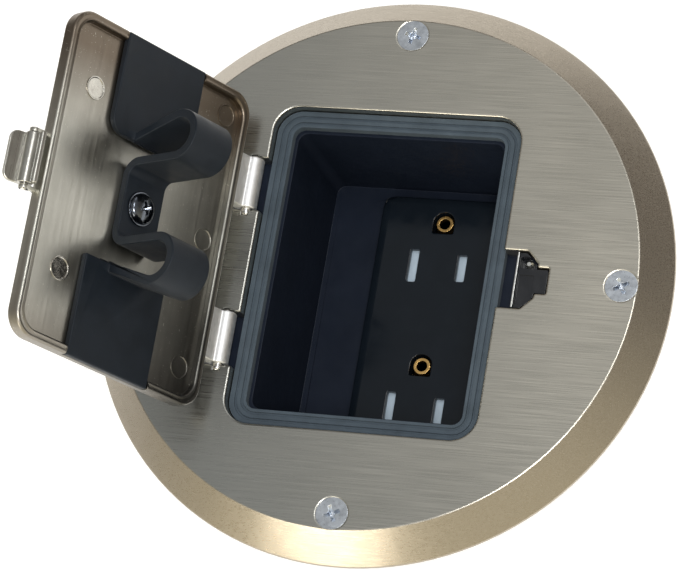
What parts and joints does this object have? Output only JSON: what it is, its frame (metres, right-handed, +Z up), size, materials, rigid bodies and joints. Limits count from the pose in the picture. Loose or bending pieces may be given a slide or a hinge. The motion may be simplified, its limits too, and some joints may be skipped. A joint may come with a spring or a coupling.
{
  "type": "floor socket box",
  "caption": "Round floor socket cover: bevelled metal plate with a hinged, latching lid and rubber cord guard over a well with a duplex receptacle at its foot.",
  "frame": {"origin": "on the round cover plate's axis, at the floor seat under its rim, where the circle of cover screws leaves the plate", "axes": "+Z up out of the floor along the plate's axis, +Y along the lid's hinge, +X from the hinge to the latch"},
  "size_m": [0.146, 0.146, 0.1323],
  "materials": {
    "plate_nickel": "brushed nickel plating on a cast brass plate",
    "cover_screw_steel": "bright zinc-plated steel",
    "lid_casting": "satin nickel plating on a zinc casting",
    "knuckle_zinc": "satin plated zinc",
    "pin_steel": "bright steel pin",
    "latch_zinc": "satin plated zinc",
    "guard_rubber": "matt black moulded rubber",
    "guard_fixing_steel": "dark zinc-plated steel",
    "gasket_foam": "black ribbed closed-cell foam",
    "floor_foam": "black closed-cell foam",
    "tub_plastic": "black moulded plastic",
    "keeper_plastic": "black moulded plastic",
    "keeper_steel": "bright spring steel",
    "face_plastic": "glossy black moulded plastic",
    "housing_plastic": "black moulded plastic",
    "yoke_steel": "galvanised steel strap",
    "shutter_plastic": "pale moulded plastic",
    "contact_brass": "brass",
    "terminal_steel": "plated steel terminal screws",
    "terminal_brass": "brass terminal screws",
    "fixing_steel": "zinc-plated steel"
  },
  "bodies": {
    "cover": {"cover_plate": "plate_nickel", "cover_screw_1": "cover_screw_steel", "cover_screw_2": "cover_screw_steel", "cover_screw_3": "cover_screw_steel", "cover_screw_4": "cover_screw_steel", "floor_gasket": "floor_foam", "ground_contact_lower": "contact_brass", "ground_contact_upper": "contact_brass", "hinge_pin_lower": "pin_steel", "hinge_pin_upper": "pin_steel", "keeper_ball": "keeper_steel", "keeper_block": "keeper_plastic", "keeper_strip": "keeper_steel", "lid_gasket": "gasket_foam", "receptacle_face": "face_plastic", "receptacle_housing": "housing_plastic", "receptacle_yoke": "yoke_steel", "recess_tub": "tub_plastic", "terminal_screw_1": "terminal_steel", "terminal_screw_2": "terminal_steel", "terminal_screw_3": "terminal_brass", "terminal_screw_4": "terminal_brass", "tub_screw_1": "fixing_steel", "tub_screw_2": "fixing_steel", "tub_screw_3": "fixing_steel", "tub_screw_4": "fixing_steel", "yoke_screw_1": "fixing_steel", "yoke_screw_2": "fixing_steel"},
    "lid": {"lid": "lid_casting", "hinge_knuckle_upper": "knuckle_zinc", "hinge_knuckle_lower": "knuckle_zinc", "cord_guard": "guard_rubber", "guard_washer": "guard_fixing_steel", "guard_screw": "guard_fixing_steel", "latch_pin": "pin_steel"},
    "latch": {"latch_lever": "latch_zinc"},
    "shutter_upper": {"shutter_upper": "shutter_plastic"},
    "shutter_lower": {"shutter_lower": "shutter_plastic"}
  },
  "joints": [
    {"name": "lid_hinge", "type": "hinge", "parent": "cover", "child": "lid", "pos_m": [-0.0354, 0, 0.00635], "axis": [0, 1, 0], "range_deg": [0, 115.6]},
    {"name": "latch_press", "type": "hinge", "parent": "lid", "child": "latch", "pos_m": [-0.06749, 0.0008, 0.06777], "axis": [0, 1, 0], "range_deg": [0, 18], "stiffness_Nm_per_rad": 0.02},
    {"name": "shutter_upper_slide", "type": "slide", "parent": "cover", "child": "shutter_upper", "axis": [1, 0, 0], "range_m": [0, 0.003], "stiffness_N_per_m": 60},
    {"name": "shutter_lower_slide", "type": "slide", "parent": "cover", "child": "shutter_lower", "axis": [1, 0, 0], "range_m": [0, 0.003], "stiffness_N_per_m": 60}
  ]
}
